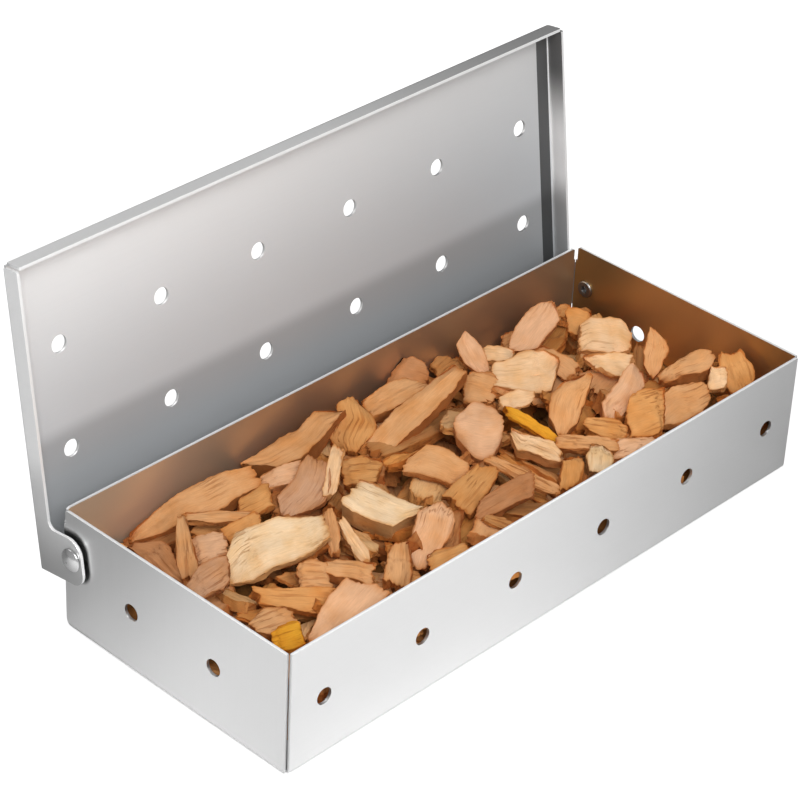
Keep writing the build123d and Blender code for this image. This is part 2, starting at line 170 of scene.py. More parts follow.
def satin_steel(name, tone, roughness, metal, end_grain, painted_light_and_gloss):
    """Brushed stainless sheet: grain along the blank, faint clouds, and one piece's painted light and
    gloss.
    They say how light it is, how much rougher, how much less like metal, and how cool in colour."""
    material, wire = new_finish(name)
    place = wire.node("ShaderNodeTexCoord", None, None, 3)
    facing = along_axes(wire.node("ShaderNodeTexCoord", None, None, 1))
    on_end = wire.math("GREATER_THAN", size_of(facing[0]), end_turn)
    blank_lines = mottled(stretched(place, (grain_long, grain_fine, grain_fine)), 1, grain_detail)
    end_lines = mottled(stretched(place, end_grain), 1, grain_detail)
    lines = blank_lines * (1 - on_end) + end_lines * on_end
    clouds = mottled(place, cloud_size, grain_detail, cloud_mix)
    shade = lines * grain_shade + clouds * cloud_shade + (tone - (grain_shade + cloud_shade) / 2)
    rough = lines * grain_rough + clouds * cloud_rough + (roughness - (grain_rough + cloud_rough) / 2)
    light, rougher, duller, cool = painted_light_and_gloss(along_axes(place), facing)
    shade = shade * light
    colour = wire.node("ShaderNodeCombineColor", None, {
        "Red": shade * (1 - cool * cool_share), "Green": shade, "Blue": shade * (1 + cool * cool_share)})
    bump = wire.node("ShaderNodeBump", None, {"Strength": 0.1, "Distance": grain_depth, "Height": lines})
    shader = wire.node("ShaderNodeBsdfPrincipled", None, {
        "Base Color": colour, "Metallic": metal - duller, "Roughness": rough + rougher, "Normal": bump})
    end_finish(wire, shader)
    return material


# The ear's outline in the closed lid, measured from the hinge, and the shade that it lays on the wall
hinge, lid_turn = sum(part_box("hinge_rivet_left"), Vector()) / 2, math.radians(-97.5)
ear_low, ear_high, ear_round = Vector((-6.5, -4.0)) * mm, Vector((8.0, 20)) * mm, 4.5 * mm
shade_shift, shade_fade = Vector((-0.4, 0.9)) * mm, (1.5 * mm, 0.1 * mm)


def in_lid(y, z):
    """A place as it lies in the closed lid, measured from the hinge."""
    y, z = y - hinge.y, z - hinge.z
    return y * math.cos(lid_turn) + z * math.sin(lid_turn), z * math.cos(lid_turn) - y * math.sin(lid_turn)


def beside_ear(y, z):
    """One right beside a hinge ear, which keeps the light off the wall, and nought away from it."""
    away = 0
    for value, low, high in zip(in_lid(y - shade_shift.x, z - shade_shift.y), ear_low, ear_high):
        over = size_of(value - (low + high) / 2) - ((high - low) / 2 - ear_round)
        away = over.clamped(0, 1) ** 2 + away
    return rising(away ** 0.5 - ear_round, *shade_fade)


# Where the tray's surfaces begin, and which way a face is turned that belongs to one
wall_middle, wall_inner = Vector((104.5, 43.6)) * mm, Vector((104, 43.1)) * mm
end_outer, rim_level = 104.8 * mm, 38.2 * mm
to_minus, to_plus, rim_turn = (-0.5, -0.7), (0.5, 0.7), (0.5, 0.8)
# Where its painted light and shade begin and where they are strongest
end_fade, front_fade = (40 * mm, 10 * mm), (40 * mm, -40 * mm)
right_back_fade, right_front_fade = (8 * mm, 34 * mm), (-14 * mm, -34 * mm)
back_fade, back_painted_fade = (-80 * mm, -30 * mm), (0, -100 * mm)
# What they do to its lightness, its gloss, its metal and its colour; the warm tint is a painted reflection
# of the chips
inside_light, end_light, ear_light, front_light, rim_light = -0.18, -0.12, -0.8, 0.06, 0.15
right_light, back_light, inside_rough = -0.45, -0.2, 0.16
back_dull, back_painted_dull, rim_dull, right_cool, back_cool = 0.04, 0.34, 0.7, -7, -3.5


def tray_painted_light(place, facing):
    """Painted light on the tray: darker and rougher inside, with a painted brown reflection of the chips on
    its right and back walls, where the back wall is duller; painted shade on its end walls towards the
    front and beside the ears, painted light on its front wall towards the left, and a painted highlight on
    its cut rims, which are duller.
    """
    x, y, z = place
    inside = (1 - beyond(size_of(x), wall_middle.x)) * (1 - beyond(size_of(y), wall_middle.y))
    right_wall = inside * beyond(x, wall_inner.x) * rising(facing[0], *to_minus)
    back_wall = inside * beyond(y, wall_inner.y) * rising(facing[1], *to_minus)
    rim = beyond(z, rim_level) * rising(facing[2], *rim_turn)
    end = beyond(size_of(x), end_outer) * rising(size_of(facing[0]), *to_plus)
    front = rising(facing[1], *to_minus) * (1 - inside)
    light = marked(
        inside * inside_light,
        # Painted shade on the end walls towards the front and beside the ears, painted light on the front
        # wall to the left
        end * rising(y, *end_fade) * end_light,
        end * beside_ear(y, z) * ear_light,
        front * rising(x, *front_fade) * front_light,
        # A painted highlight on the cut rims
        rim * rim_light,
        right_wall * (rising(y, *right_back_fade) + rising(y, *right_front_fade)) * right_light,
        back_wall * rising(x, *back_fade) * back_light)
    # The back wall grows duller towards the left, which shows its painted brown reflection of the chips;
    # the cut rims are duller too
    duller = back_wall * (back_dull + rising(x, *back_painted_fade) * back_painted_dull) + rim * rim_dull
    return light, inside * inside_rough, duller, right_wall * right_cool + back_wall * back_cool


def dress_sheet(node, material, edge_round):
    """Gives a folded sheet its finish and breaks its cut edges, which catch the light."""
    node.data.materials.clear()
    node.data.materials.append(material)
    weld = node.modifiers.new("weld", "WELD")
    weld.merge_threshold = 0.002 * mm
    flats = node.modifiers.new("flats", "DECIMATE")
    flats.decimate_type = "DISSOLVE"
    flats.angle_limit = math.radians(0.4)
    edges = node.modifiers.new("edges", "BEVEL")
    edges.width = edge_round
    edges.segments = 2
    edges.limit_method = "ANGLE"
    edges.angle_limit = math.radians(40)
    edges.harden_normals = True
    edges.use_clamp_overlap = True


tray_grain = (grain_fine, grain_fine, grain_long)
tray_steel = satin_steel(
    "tray_steel", tone=0.76, roughness=0.32, metal=1, end_grain=tray_grain, painted_light_and_gloss=tray_painted_light)
dress_sheet(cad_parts["tray"], tray_steel, sheet_edge)


# Lid: the same sheet, folded into a panel with shallow flanges and two ears that hang on the rivets.
# It stands open, leaning back a little, and its inside faces the camera.
panel_rise, flange_start = 14.1 * mm, 1.3 * mm
lip_start, panel_turn, lip_turn = (104 * mm, 105 * mm), (-0.4, -0.7), (0.5, 0.9)
flange_reflection_start, fold_start = 100.3 * mm, 105.1 * mm
right_inner_start, left_outer_start = 105.3 * mm, -106.4 * mm
# Where the lid's painted light and shade begin and where they are strongest
low_fade, rim_shade, high_fade = (112 * mm, 50 * mm), (56 * mm, 50 * mm), (60 * mm, 100 * mm)
across_fade, lip_fade, left_fade = (-90 * mm, 90 * mm), (-100 * mm, 110 * mm), (40 * mm, 16 * mm)
inner_high_fade, inner_low_fade = (72 * mm, 96 * mm), (62 * mm, 50 * mm)
left_dull_fade, inner_dull_fade = (40 * mm, 55 * mm), (48 * mm, 60 * mm)
# What they do to its lightness, its gloss, its metal and its colour
flange_reflection_light, across_light, rim_shade_light, high_light, low_light = -0.83, -0.18, -0.3, 0.1, -0.12
inner_light, inner_high_light, inner_low_light = 0.15, -1.0, -0.4
left_light, left_low_light, lip_light, lip_right_light, edge_light = 0.03, -0.52, 0.05, -0.8, 0.12
panel_rough, panel_dull, edge_dull, left_dull, inner_dull = 0.2, 0.22, 0.3, 0.5, 0.4
low_cool, panel_cool = 0.45, -0.05


def lid_painted_light(place, facing):
    """Painted light on the lid: a painted reflection of the right flange beside its fold, painted shade
    behind the rim, low down and to the right, painted light high up, painted light and shade on its flanges
    and lip, and painted highlights on its cuts and fold. Its panel, edges and parts of its side flanges are
    duller, and its panel is rougher and painted cooler low down against the chips' warm reflection.
    """
    x, y, z = place
    lean, upright = -math.cos(lid_turn), -math.sin(lid_turn)
    depth = panel_rise - in_lid(y, z)[1]
    upward = facing[2] * upright + facing[1] * lean
    flange = beyond(depth, flange_start)
    side_plate = rising(size_of(facing[0]), *to_plus)
    front_plate = rising(z, *lip_start) * rising(size_of(upward), *to_plus)
    cut = flange * (1 - side_plate) * (1 - front_plate)
    panel = rising(facing[1], *panel_turn) * (1 - flange)
    low = rising(z, *low_fade)
    # A painted reflection of the right flange: a dark strip of the panel beside the right fold
    flange_reflection = beyond(x, flange_reflection_start) * (1 - beyond(x, fold_start))
    # Painted highlights on the cut edges and on the right fold
    bright_edge = cut + panel * beyond(x, fold_start)
    right_inner = beyond(x, right_inner_start) * rising(facing[0], *to_minus)
    left_outer = (1 - beyond(x, left_outer_start)) * rising(facing[0], *to_minus)
    light = marked(
        panel * flange_reflection * flange_reflection_light,
        panel * rising(x, *across_fade) * across_light,
        panel * rising(z, *rim_shade) * rim_shade_light,
        panel * (rising(z, *high_fade) * high_light + low * low_light),
        # Painted light and shade on the right flange's inner face and, darker low down, on the left
        # flange's outer face
        right_inner * (
            inner_light + rising(z, *inner_high_fade) * inner_high_light
            + rising(z, *inner_low_fade) * inner_low_light),
        left_outer * (left_light + rising(z, *left_fade) * left_low_light),
        # The lip is lighter to the left and darker to the right: painted light and shade
        rising(facing[2], *lip_turn) * (lip_light + rising(x, *lip_fade) * lip_right_light),
        bright_edge * edge_light)
    duller = panel * panel_dull + bright_edge * edge_dull
    duller = duller + left_outer * rising(z, *left_dull_fade) * left_dull
    duller = duller + right_inner * rising(z, *inner_dull_fade) * inner_dull
    # The panel is painted cooler low down, against the chips' warm reflection
    return light, panel * panel_rough, duller, panel * (low * low_cool + panel_cool)


lid_grain = (grain_fine, grain_long, grain_fine)
lid_steel = satin_steel(
    "lid_steel", tone=0.82, roughness=0.34, metal=0.6, end_grain=lid_grain, painted_light_and_gloss=lid_painted_light)
dress_sheet(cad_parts["lid"], lid_steel, sheet_edge)


# Rivets: semi-tubular, polished by the tool that set them. The domed head shows outside the ear and
# the rolled tail inside the end wall.
tail_start, tail_light, tail_rough = (105 * mm, 104.5 * mm), -0.5, 0.15
rivet_edge = 0.06 * mm


def shaded_tail(place, facing):
    """The hollow tail inside the tray gets painted shade, and is rougher than the polished head outside."""
    inside = rising(size_of(place[0]), *tail_start)
    return marked(inside * tail_light), inside * tail_rough, 0, 0


rivet_grain = (grain_fine, grain_fine, grain_fine)
rivet_steel = satin_steel(
    "rivet_steel", tone=0.72, roughness=0.2, metal=1, end_grain=rivet_grain, painted_light_and_gloss=shaded_tail)
for side in ("left", "right"):
    dress_sheet(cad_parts["hinge_rivet_" + side], rivet_steel, rivet_edge)


# Wood chips: split and torn pieces of a pale hardwood, the fuel that the box is filled with. The top
# ones lie where the photograph shows them, over others that follow the frame's own chips.
def linear(code):
    """Linear colour of a hexadecimal display colour."""
    shares = [int(code[i : i + 2], 16) / 255 for i in (0, 2, 4)]
    return [s / 12.92 if s <= 0.04045 else ((s + 0.055) / 1.055) ** 2.4 for s in shares]


wood_tones = {
    "cream": linear("F4D9B8"),
    "pale": linear("F1CCA6"),
    "pink": linear("E6B692"),
    "tan": linear("DDA878"),
    "orange": linear("D99F64"),
    "amber": linear("E4A52E"),
    "brown": linear("C28A60"),
    "grey": linear("CFA283"),
}
common_tones = ("pale", "tan", "tan", "pink", "orange", "tan", "pale", "orange", "brown", "pink")
# The chips on top were read off the photograph. Each has its tone, how far its face turns from
# up to the camera, its thickness in mm, how many steps it lies over the lowest, and its four corners in
# pixels, the grain running from the first two to the last two. Uneven ones have an outline as well.
traced_chips = {
    "oval slab": ("cream", 0.45, 4.5, 1.5, ((230, 533), (232, 577), (319, 513), (326, 540))),
    "cream block": ("cream", 0.4, 6.5, 1.0, ((364, 475), (343, 504), (425, 501), (398, 531))),
    "wedge": ("pink", 0.5, 6.0, 1.0, ((344, 574), (394, 595), (306, 640), (368, 655))),
    "left log": ("tan", 0.45, 8.0, 0.0, ((128, 524), (134, 540), (242, 462), (264, 486))),
    "long log": ("tan", 0.5, 8.0, 0.0, ((242, 456), (262, 480), (322, 402), (352, 418))),
    "chunk": ("orange", 0.5, 6.0, 0.5, ((338, 399), (376, 406), (328, 436), (366, 452))),
    "middle log": ("tan", 0.5, 7.0, 1.5, ((352, 448), (388, 464), (442, 366), (474, 374))),
    "log behind": ("tan", 0.5, 6.0, 0.5, ((360, 398), (374, 416), (402, 374), (436, 388))),
    "round end": ("brown", 0.6, 8.0, 0.5, ((384, 380), (402, 354), (424, 392), (428, 362))),
    "upright leaf": ("pink", 0.75, 3.0, 1.0, ((459, 334), (473, 330), (472, 376), (493, 378))),
    "behind leaf": ("tan", 0.5, 4.0, 0.0, ((470, 364), (462, 400), (500, 380), (492, 404))),
    "big slab": ("pale", 0.5, 5.0, 1.5, ((491, 362), (497, 388), (560, 346), (557, 390))),
    "top slab": ("pink", 0.75, 4.0, 1.0, ((534, 303), (560, 304), (506, 350), (545, 347))),
    "slab beside": ("tan", 0.45, 3.0, 0.5, ((541, 342), (533, 352), (580, 364), (566, 380))),
    "amber tip": ("pale", 0.5, 5.0, 1.0, ((584, 315), (579, 350), (622, 320), (634, 350))),
    "amber behind": ("orange", 0.6, 5.0, 0.0, ((568, 306), (566, 330), (592, 310), (586, 336))),
    "flat pale": ("pale", 0.45, 3.0, 0.5, ((582, 352), (598, 368), (634, 354), (624, 378))),
    "pink log": ("pink", 0.5, 6.0, 2.0, ((622, 364), (650, 378), (600, 400), (622, 421))),
    "split slab": ("tan", 0.55, 5.0, 1.5, ((560, 380), (593, 373), (549, 424), (576, 432))),
    "upright right": ("tan", 0.75, 3.5, 0.5, ((648, 326), (671, 347), (643, 368), (661, 377))),
    "right log": ("tan", 0.5, 7.0, 1.0, ((661, 366), (669, 382), (702, 344), (716, 370))),
    "brown curl": ("orange", 0.75, 2.5, 0.0, ((716, 358), (744, 346), (730, 394), (756, 382))),
    "right slab": ("tan", 0.5, 5.0, 1.0, ((662, 382), (660, 426), (708, 378), (712, 410))),
    "ribbed slab": ("orange", 0.45, 5.0, 1.0, ((628, 396), (630, 440), (666, 384), (664, 428))),
    "pink curl": ("pink", 0.5, 5.5, 1.5, ((457, 406), (466, 452), (501, 402), (502, 456))),
    "flat tan": ("tan", 0.4, 4.5, 1.0, ((421, 442), (404, 470), (474, 462), (452, 482))),
    "corner piece": ("orange", 0.45, 4.0, 0.5, ((500, 468), (478, 462), (474, 512), (442, 494))),
    "shell": ("pink", 0.5, 4.5, 1.5, ((416, 506), (453, 502), (404, 556), (434, 566))),
    "bowl": ("grey", 0.45, 4.0, 0.5, ((302, 454), (330, 468), (276, 500), (316, 516))),
    "pale strip": ("pale", 0.5, 2.5, 1.5, ((333, 446), (345, 449), (321, 498), (335, 492))),
    "left corner": ("brown", 0.5, 5.0, 0.5, ((128, 544), (166, 536), (160, 572), (186, 584))),
    "left tooth": ("tan", 0.6, 4.5, 1.0, ((178, 516), (186, 515), (176, 582), (200, 572))),
    "grey piece": ("pink", 0.45, 4.0, 0.5, ((190, 534), (198, 564), (224, 530), (228, 554))),
    "splintered": ("grey", 0.45, 5.0, 1.0, ((226, 552), (230, 580), (183, 580), (200, 600))),
    "front leaf": ("orange", 0.45, 4.5, 0.5, ((250, 588), (264, 603), (332, 586), (322, 612))),
    "front stub": ("tan", 0.5, 5.0, 0.5, ((247, 616), (264, 640), (284, 602), (302, 624))),
    "amber front": ("amber", 0.45, 4.0, 0.5, ((270, 632), (278, 650), (299, 620), (305, 642))),
    "right flat": ("pale", 0.45, 3.5, 1.0, ((512, 424), (513, 450), (554, 434), (561, 462))),
    "amber strip": ("amber", 0.4, 3.0, 1.0, ((503, 402), (511, 416), (556, 432), (556, 441))),
    "crumbly": ("cream", 0.6, 6.0, 0.5, ((590, 441), (612, 446), (588, 472), (612, 470))),
    "pale bar": ("pale", 0.45, 4.0, 0.5, ((345, 516), (338, 524), (372, 556), (360, 562))),
    "low leaf": ("tan", 0.4, 4.0, 0.5, ((321, 560), (322, 572), (376, 556), (370, 582))),
    "mid stub": ("tan", 0.45, 5.0, 0.5, ((300, 562), (296, 586), (326, 560), (332, 590))),
    "left of block": ("tan", 0.45, 4.0, 0.5, ((322, 510), (334, 506), (328, 552), (342, 548))),
    "grey bar": ("brown", 0.45, 5.0, 0.5, ((478, 500), (476, 520), (530, 470), (534, 492))),
    "low bar": ("tan", 0.45, 3.5, 1.0, ((494, 454), (489, 462), (560, 484), (552, 494))),
    "rim amber": ("orange", 0.5, 5.0, 0.3, ((562, 455), (582, 454), (560, 490), (582, 480))),
    "rim pink": ("pink", 0.45, 3.5, 0.3, ((616, 438), (614, 458), (656, 434), (652, 448))),
    "by the shell": ("tan", 0.5, 4.0, 0.3, ((392, 542), (410, 540), (382, 580), (412, 586))),
    "under the shell": ("orange", 0.45, 4.0, 0.3, ((428, 552), (432, 572), (464, 538), (468, 556))),
    "thin leaf": ("tan", 0.4, 2.5, 0.8, ((184, 511), (186, 521), (256, 509), (254, 521))),
    "peach piece": ("orange", 0.45, 3.5, 0.3, ((222, 528), (232, 544), (256, 510), (266, 528))),
    "peach chunk": ("orange", 0.45, 4.5, 0.6, ((238, 500), (240, 518), (268, 480), (274, 504))),
    "ribbed orange": ("orange", 0.5, 4.5, 0.3, ((343, 456), (345, 488), (379, 456), (381, 482))),
    "behind the bowl": ("pink", 0.45, 4.0, 0.3, ((261, 472), (266, 488), (300, 458), (298, 482))),
    "fan": ("pale", 0.45, 3.0, 1.2, ((498, 394), (504, 410), (533, 390), (532, 402))),
    "curved brown": ("orange", 0.45, 4.0, 0.3, ((586, 416), (588, 434), (624, 420), (628, 440))),
    "small pale": ("pale", 0.5, 3.0, 0.3, ((484, 345), (486, 361), (514, 347), (512, 360))),
    "rim pale": ("pale", 0.6, 4.0, 0.6, ((708, 366), (709, 392), (727, 363), (727, 387))),
    "right of curl": ("tan", 0.45, 4.0, 0.5, ((560, 432), (556, 446), (620, 436), (616, 452))),
}
traced_outlines = {
    "oval slab": (
        (228, 545), (232, 534), (246, 527), (262, 523), (272, 517), (300, 516), (318, 513), (325, 520),
        (326, 533), (324, 539), (310, 550), (296, 559), (280, 561), (266, 569), (252, 577), (240, 579),
        (229, 577), (227, 565)),
    "cream block": (
        (364, 475), (372, 478), (398, 491), (424, 501), (424, 505), (412, 516), (398, 530), (392, 528),
        (368, 518), (348, 512), (343, 503), (356, 499), (360, 490)),
    "wedge": (
        (344, 573), (366, 584), (378, 586), (393, 595), (370, 612), (330, 640), (306, 638), (318, 614),
        (335, 588)),
    "left log": (
        (128, 529), (136, 522), (150, 511), (164, 502), (172, 495), (180, 490), (187, 484), (205, 478),
        (222, 470), (240, 464), (252, 467), (260, 478), (262, 484), (250, 488), (235, 496), (222, 507),
        (205, 516), (190, 514), (178, 520), (160, 530), (145, 536), (130, 534)),
    "long log": (
        (240, 462), (255, 452), (268, 440), (284, 432), (298, 424), (306, 410), (315, 404), (326, 401),
        (331, 408), (345, 408), (335, 424), (322, 440), (310, 452), (300, 460), (282, 467), (262, 477),
        (258, 466)),
    "chunk": (
        (344, 397), (350, 395), (358, 397), (362, 408), (373, 412), (378, 425), (368, 440), (358, 452),
        (342, 448), (330, 437), (326, 430), (338, 416), (336, 405)),
    "middle log": (
        (360, 452), (366, 440), (376, 428), (384, 415), (400, 402), (420, 388), (434, 376), (452, 364),
        (462, 366), (466, 374), (455, 388), (440, 404), (426, 418), (412, 432), (398, 446), (386, 458),
        (372, 456)),
    "bowl": (
        (303, 456), (310, 455), (322, 466), (330, 462), (332, 475), (326, 500), (320, 507), (300, 508),
        (288, 515), (281, 512), (276, 496), (270, 486), (284, 486), (296, 476)),
    "big slab": (
        (491, 363), (505, 360), (520, 352), (534, 347), (546, 346), (552, 352), (560, 356), (553, 368),
        (552, 378), (555, 388), (545, 392), (530, 397), (520, 392), (500, 390), (494, 382), (492, 372)),
    "top slab": (
        (508, 341), (516, 324), (528, 310), (538, 303), (550, 300), (556, 306), (561, 318), (555, 328),
        (546, 336), (541, 347), (524, 348), (510, 350)),
    "pink log": (
        (633, 361), (641, 366), (648, 376), (642, 392), (632, 404), (622, 412), (618, 420), (608, 418),
        (601, 408), (602, 400), (614, 388), (620, 378), (626, 366)),
    "pink curl": (
        (457, 410), (468, 403), (480, 400), (494, 404), (501, 412), (503, 428), (500, 444), (492, 456),
        (482, 458), (470, 450), (462, 440), (456, 436)),
    "shell": (
        (418, 510), (428, 503), (440, 501), (450, 504), (456, 518), (452, 532), (444, 544), (434, 556),
        (424, 566), (412, 560), (405, 555), (410, 545), (414, 530), (416, 518)),
    "split slab": (
        (556, 386), (568, 378), (580, 373), (592, 372), (594, 380), (586, 398), (580, 415), (574, 430),
        (562, 434), (552, 424), (548, 410), (550, 398)),
    "right slab": (
        (664, 386), (680, 384), (690, 381), (706, 379), (710, 392), (711, 406), (700, 412), (686, 418),
        (672, 424), (660, 424), (664, 410)),
    "amber tip": (
        (583, 317), (600, 318), (620, 320), (628, 326), (632, 338), (631, 350), (610, 352), (596, 348),
        (580, 349), (579, 335)),
    "flat tan": (
        (421, 443), (436, 446), (448, 450), (460, 458), (472, 464), (466, 474), (452, 482), (436, 476),
        (420, 472), (405, 470), (404, 464), (412, 456)),
    "left corner": (
        (125, 545), (140, 540), (158, 537), (168, 542), (174, 556), (180, 570), (184, 582), (172, 578),
        (158, 570), (140, 556)),
    "right flat": (
        (513, 425), (525, 430), (540, 436), (556, 440), (561, 450), (560, 462), (546, 460), (530, 452),
        (513, 449)),
    "right log": (
        (661, 368), (672, 362), (684, 356), (696, 348), (706, 345), (714, 352), (715, 362), (706, 374),
        (694, 372), (684, 374), (670, 380), (662, 376)),
    "upright right": (
        (650, 327), (657, 332), (665, 340), (671, 348), (664, 360), (660, 374), (652, 376), (645, 368),
        (644, 355), (646, 342)),
    "upright leaf": (
        (466, 330), (472, 336), (482, 348), (488, 362), (490, 378), (482, 374), (472, 368), (462, 360),
        (457, 345), (461, 340)),
}
inner_box = (Vector((-103.9, -43.0, 1.0)) * mm, Vector((103.9, 43.0, 38.8)) * mm)
swell_long, swell_wide, traced_swell, steepest_slant = 1.1, 1.28, 1.06, 0.9
traced_tear, outlined_tear = 0.7, 0.45
outline_steps, outline_start, outline_span = 6, 0.04, 0.92
up, down, wall_limit = Vector((0, 0, 1)), Vector((0, 0, -1)), Vector((103.4, 42.6)) * mm
traced_level, lift_step, wall_step = 29.5 * mm, 1.6, 0.7 * mm
heap_level, buried = 30 * mm, 15 * mm
rest_margin, rest_gap, rest_depth = 2 * mm, 3 * mm, 22 * mm
# Tints of the top chips, and the darker, warmer tint of the chips and dust low in the heap: a painted shade
top_warmth, deep_shade_tint = Vector((1, 0.95, 0.86)), Vector((1, 0.86, 0.62))
top_shades, right_glow, deep_shades = (0.8, 0.92), 0.2, (0.7, 0.9)
open_hole, sight_start, sight_room = (639, 331), 12, Vector((20, 9, 10)) * mm

# The wood's patterns: how often they repeat along the grain and across it, and the stains' colours
crack_grain, fibre_grain, fibre_mix = (70, 1300, 1300), (260, 4200, 4200), 0.6
blotch_size, region_size, wood_detail, region_detail = 150, 60, 3, 1
warm_stain, crack_stain = (0.9, 0.7, 0.42, 1), (0.5, 0.3, 0.14, 1)


def mixed(share, under, over, way="MIX"):
    settings = {"data_type": "RGBA", "blend_type": way}
    return under.node("ShaderNodeMix", settings, {0: share, 6: under, 7: over}, 2)


def split_wood():
    """Dry split wood: fibres, pores and fine cracks along each chip's own grain, over its own tone."""
    material, wire = new_finish("split_wood")
    place = wire.node("ShaderNodeAttribute", {"attribute_name": "grain_place"}, None, 1)
    tone = wire.node("ShaderNodeAttribute", {"attribute_name": "wood_tone"}, None, 0)
    cracks = mottled(stretched(place, crack_grain), 1, wood_detail)
    fibres = mottled(stretched(place, fibre_grain), 1, wood_detail, fibre_mix)
    blotches = mottled(place, blotch_size, wood_detail)
    cracked = (mottled(place, region_size, region_detail) * 5 - 2.2).clamped(0, 1)
    crack = (1 - (cracks - 0.38) * 16).clamped(0, 1) * cracked
    warm = (blotches * 3.0 - 1.2).clamped(0, 1)
    wood = mixed(warm * 0.7, tone, mixed(1.0, tone, warm_stain, "MULTIPLY"))
    split = mixed(crack * 0.55, wood, crack_stain, "MULTIPLY")
    fibre_shade = fibres * 0.44 + 0.78
    colour = wire.node("ShaderNodeVectorMath", {"operation": "SCALE"}, {0: split, 3: fibre_shade})
    height = fibres * 0.4 + blotches * 0.35 - crack * 0.6
    bump = wire.node("ShaderNodeBump", None, {"Strength": 0.8, "Distance": 0.3 * mm, "Height": height})
    shader = wire.node("ShaderNodeBsdfPrincipled", None, {
        "Base Color": colour, "Roughness": 0.94 - fibres * 0.2, "Normal": bump, "Specular IOR Level": 0.25})
    end_finish(wire, shader)
    return material


def held(value, low, high):
    return min(max(value, low), high)


def held_in_tray(spot):
    """A point, moved no more than it takes to lie between the tray's walls."""
    return [held(value, low, high) for value, low, high in zip(spot, *inner_box)]


def loose_pieces(mesh):
    """The separate solids of a bmesh, in the order of their first vertices, each as its vertices."""
    taken, found = set(), []
    for first in mesh.verts:
        if first.index in taken:
            continue
        taken.add(first.index)
        piece = [first]
        for vert in piece:
            for edge in vert.link_edges:
                other = edge.other_vert(vert)
                if other.index not in taken:
                    taken.add(other.index)
                    piece.append(other)
        found.append(piece)
    return found


def grain_frame(verts):
    """A chip's middle and its axes along the grain, across it and through it, with its two end faces."""
    faces = {face.index: face for vert in verts for face in vert.link_faces}
    faces = [faces[index] for index in sorted(faces)]
    ends = sorted(faces, key=lambda face: (-len(face.verts), face.calc_area()))[:2]
    centres = [face.calc_center_median() for face in ends]
    along = (centres[1] - centres[0]).normalized()
    sides = [face for face in faces if face not in ends]
    through = max(sides, key=lambda face: face.calc_area()).normal
    through = (through - along * through.dot(along)).normalized()
    if through.z < 0:
        through = -through
    return (centres[0] + centres[1]) / 2, Matrix((along, through.cross(along), through)), ends


def end_sizes(face, middle, axes):
    """Place, slant and half thickness of one end of a chip, and its two sides there, in its own frame."""
    corners = [axes @ (vert.co - middle) for vert in face.verts]
    us, vs, ws = zip(*corners)
    mid_u, mid_v, mid_w = sum(us) / len(us), (max(vs) + min(vs)) / 2, (max(ws) + min(ws)) / 2
    spread = sum((v - mid_v) ** 2 for v in vs)
    slant = sum((u - mid_u) * (v - mid_v) for u, v in zip(us, vs)) / spread
    slant = held(slant, -steepest_slant, steepest_slant)
    half_v = (max(vs) - min(vs)) / 2 * swell_wide
    return (mid_u * swell_long, mid_w, slant, (max(ws) - min(ws)) / 2), (mid_v - half_v, mid_v + half_v)


def grid_block(cells):
    """A block two units wide, cut into cells along each of its axes."""
    block = bmesh.new()
    bmesh.ops.create_cube(block, size=2)
    for axis, count in enumerate(cells):
        for i in range(1, count):
            cut, square = [0, 0, 0], [0, 0, 0]
            cut[axis], square[axis] = 2 * i / count - 1, 1
            geometry = block.verts[:] + block.edges[:] + block.faces[:]
            bmesh.ops.bisect_plane(block, geom=geometry, dist=1e-5, plane_co=cut, plane_no=square)
    return block


def new_seed(rng):
    return Vector([rng.uniform(0, 90) for axis in range(3)])


def wave(seed, *place):
    """Smooth noise between -1 and 1, different for each seed."""
    return noise.noise(seed + Vector(place))


# How a chip is torn: the lengths of the waves in its sides, ends, split layers and ridges, the size from
# which it is cupped, bent and torn in full, and the share of its tone that is left on its sides, ends and
# underside, partly darker broken wood and partly painted shade
side_wave, side_ripple = 5 * mm, 1.3 * mm
end_wave, end_fray, deepest_tear = 2.6 * mm, 0.75 * mm, 2.6 * mm
layer_wave, ledge_depth, full_depth = 1.1 * mm, 0.3 * mm, 1.2 * mm
ridge_long, ridge_wide, thread_long, thread_wide = 8 * mm, 1.1 * mm, 3 * mm, 0.45 * mm
full_width, full_length, crease = 6 * mm, 14 * mm, math.radians(32)
side_shade = Vector((0.76, 0.56, 0.36))


